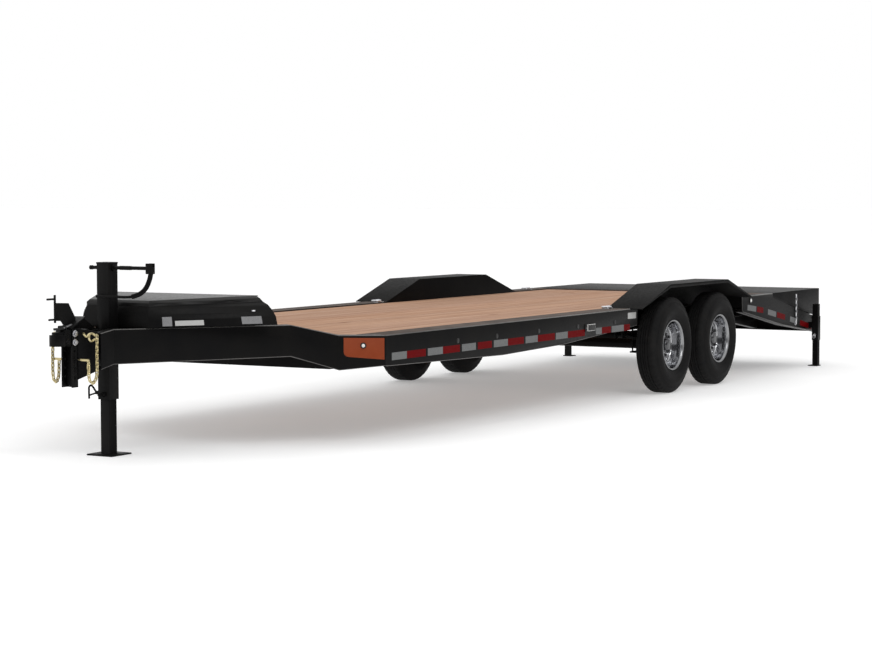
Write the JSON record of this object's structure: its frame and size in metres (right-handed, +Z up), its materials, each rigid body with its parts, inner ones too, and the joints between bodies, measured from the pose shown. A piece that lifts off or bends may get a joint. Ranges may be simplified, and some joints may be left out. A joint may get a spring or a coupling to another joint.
{
  "type": "tandem-axle equipment trailer with flip-over ramps",
  "caption": "Low equipment trailer with a raised tongue, wood deck, drive-over fenders, dovetail, flip-over ramps, jack and rear stands; wheels, ramps, lid and legs move.",
  "frame": {"origin": "on the ground, at the middle of the overall length and width", "axes": "+X forward to the coupler, +Y to the left side, +Z up"},
  "size_m": [9.443, 2.591, 1.174],
  "materials": {
    "frame_black": "satin",
    "ramp_black": "satin",
    "steel_plate": "satin",
    "lid_grey": "satin",
    "deck_wood": "raw",
    "tyre_rubber": "matt",
    "alloy": "polished",
    "bright_steel": "bright",
    "gold_zinc": "zinc plated",
    "orange": "satin",
    "lamp_red": "gloss"
  },
  "bodies": {
    "chassis": {"axle_front": "frame_black", "axle_rear": "frame_black", "ball_coupler": "frame_black", "corner_panels": "orange", "coupler_channel": "frame_black", "crossmembers": "frame_black", "deck_end_plate": "steel_plate", "deck_planks": "deck_wood", "dovetail_frame": "frame_black", "dovetail_rail_left": "frame_black", "dovetail_rail_right": "frame_black", "equalizers": "frame_black", "fender_left": "frame_black", "fender_right": "frame_black", "front_crossbeam": "frame_black", "hinge_pins": "bright_steel", "jack_crank": "frame_black", "jack_mount": "frame_black", "jack_tube": "frame_black", "leaf_springs": "frame_black", "main_beam_left": "frame_black", "main_beam_right": "frame_black", "nose_bracket": "frame_black", "rear_crossmember": "frame_black", "safety_chain_left": "gold_zinc", "safety_chain_right": "gold_zinc", "side_rail_left": "frame_black", "side_rail_right": "frame_black", "spring_hangers": "frame_black", "stand_sleeve_left": "frame_black", "stand_sleeve_right": "frame_black", "tail_lamps": "lamp_red", "tie_rings": "bright_steel", "tongue_crossmembers": "frame_black", "tongue_nose": "frame_black", "tongue_rail_left": "frame_black", "tongue_rail_right": "frame_black", "toolbox_body": "frame_black"},
    "wheel_fl": {"tyre_front_left": "tyre_rubber", "wheel_front_left": "alloy"},
    "wheel_fr": {"tyre_front_right": "tyre_rubber", "wheel_front_right": "alloy"},
    "wheel_rl": {"tyre_rear_left": "tyre_rubber", "wheel_rear_left": "alloy"},
    "wheel_rr": {"tyre_rear_right": "tyre_rubber", "wheel_rear_right": "alloy"},
    "ramp_l": {"ramp_left": "ramp_black"},
    "ramp_r": {"ramp_right": "ramp_black"},
    "lid": {"toolbox_lid": "lid_grey"},
    "jack_foot": {"jack_leg": "frame_black"},
    "stand_l": {"stand_leg_left": "frame_black"},
    "stand_r": {"stand_leg_right": "frame_black"}
  },
  "joints": [
    {"name": "wheel_fl_spin", "type": "hinge", "parent": "chassis", "child": "wheel_fl", "pos_m": [-1.2895, 1.188, 0.38], "axis": [0, 1, 0], "continuous": true},
    {"name": "wheel_fr_spin", "type": "hinge", "parent": "chassis", "child": "wheel_fr", "pos_m": [-1.2895, -1.188, 0.38], "axis": [0, 1, 0], "continuous": true},
    {"name": "wheel_rl_spin", "type": "hinge", "parent": "chassis", "child": "wheel_rl", "pos_m": [-2.2015, 1.188, 0.38], "axis": [0, 1, 0], "continuous": true},
    {"name": "wheel_rr_spin", "type": "hinge", "parent": "chassis", "child": "wheel_rr", "pos_m": [-2.2015, -1.188, 0.38], "axis": [0, 1, 0], "continuous": true},
    {"name": "ramp_l_hinge", "type": "hinge", "parent": "chassis", "child": "ramp_l", "pos_m": [-4.7015, 0.599, 0.42], "axis": [0, -1, 0], "range_deg": [0, 187]},
    {"name": "ramp_r_hinge", "type": "hinge", "parent": "chassis", "child": "ramp_r", "pos_m": [-4.7015, -0.599, 0.42], "axis": [0, -1, 0], "range_deg": [0, 187]},
    {"name": "lid_hinge", "type": "hinge", "parent": "chassis", "child": "lid", "pos_m": [3.4535, 0, 0.948], "axis": [0, -1, 0], "range_deg": [0, 92]},
    {"name": "jack_slide", "type": "slide", "parent": "chassis", "child": "jack_foot", "axis": [0, 0, 1], "range_m": [0, 0.3]},
    {"name": "stand_l_slide", "type": "slide", "parent": "chassis", "child": "stand_l", "axis": [0, 0, 1], "range_m": [0, 0.2]},
    {"name": "stand_r_slide", "type": "slide", "parent": "chassis", "child": "stand_r", "axis": [0, 0, 1], "range_m": [0, 0.2]}
  ]
}
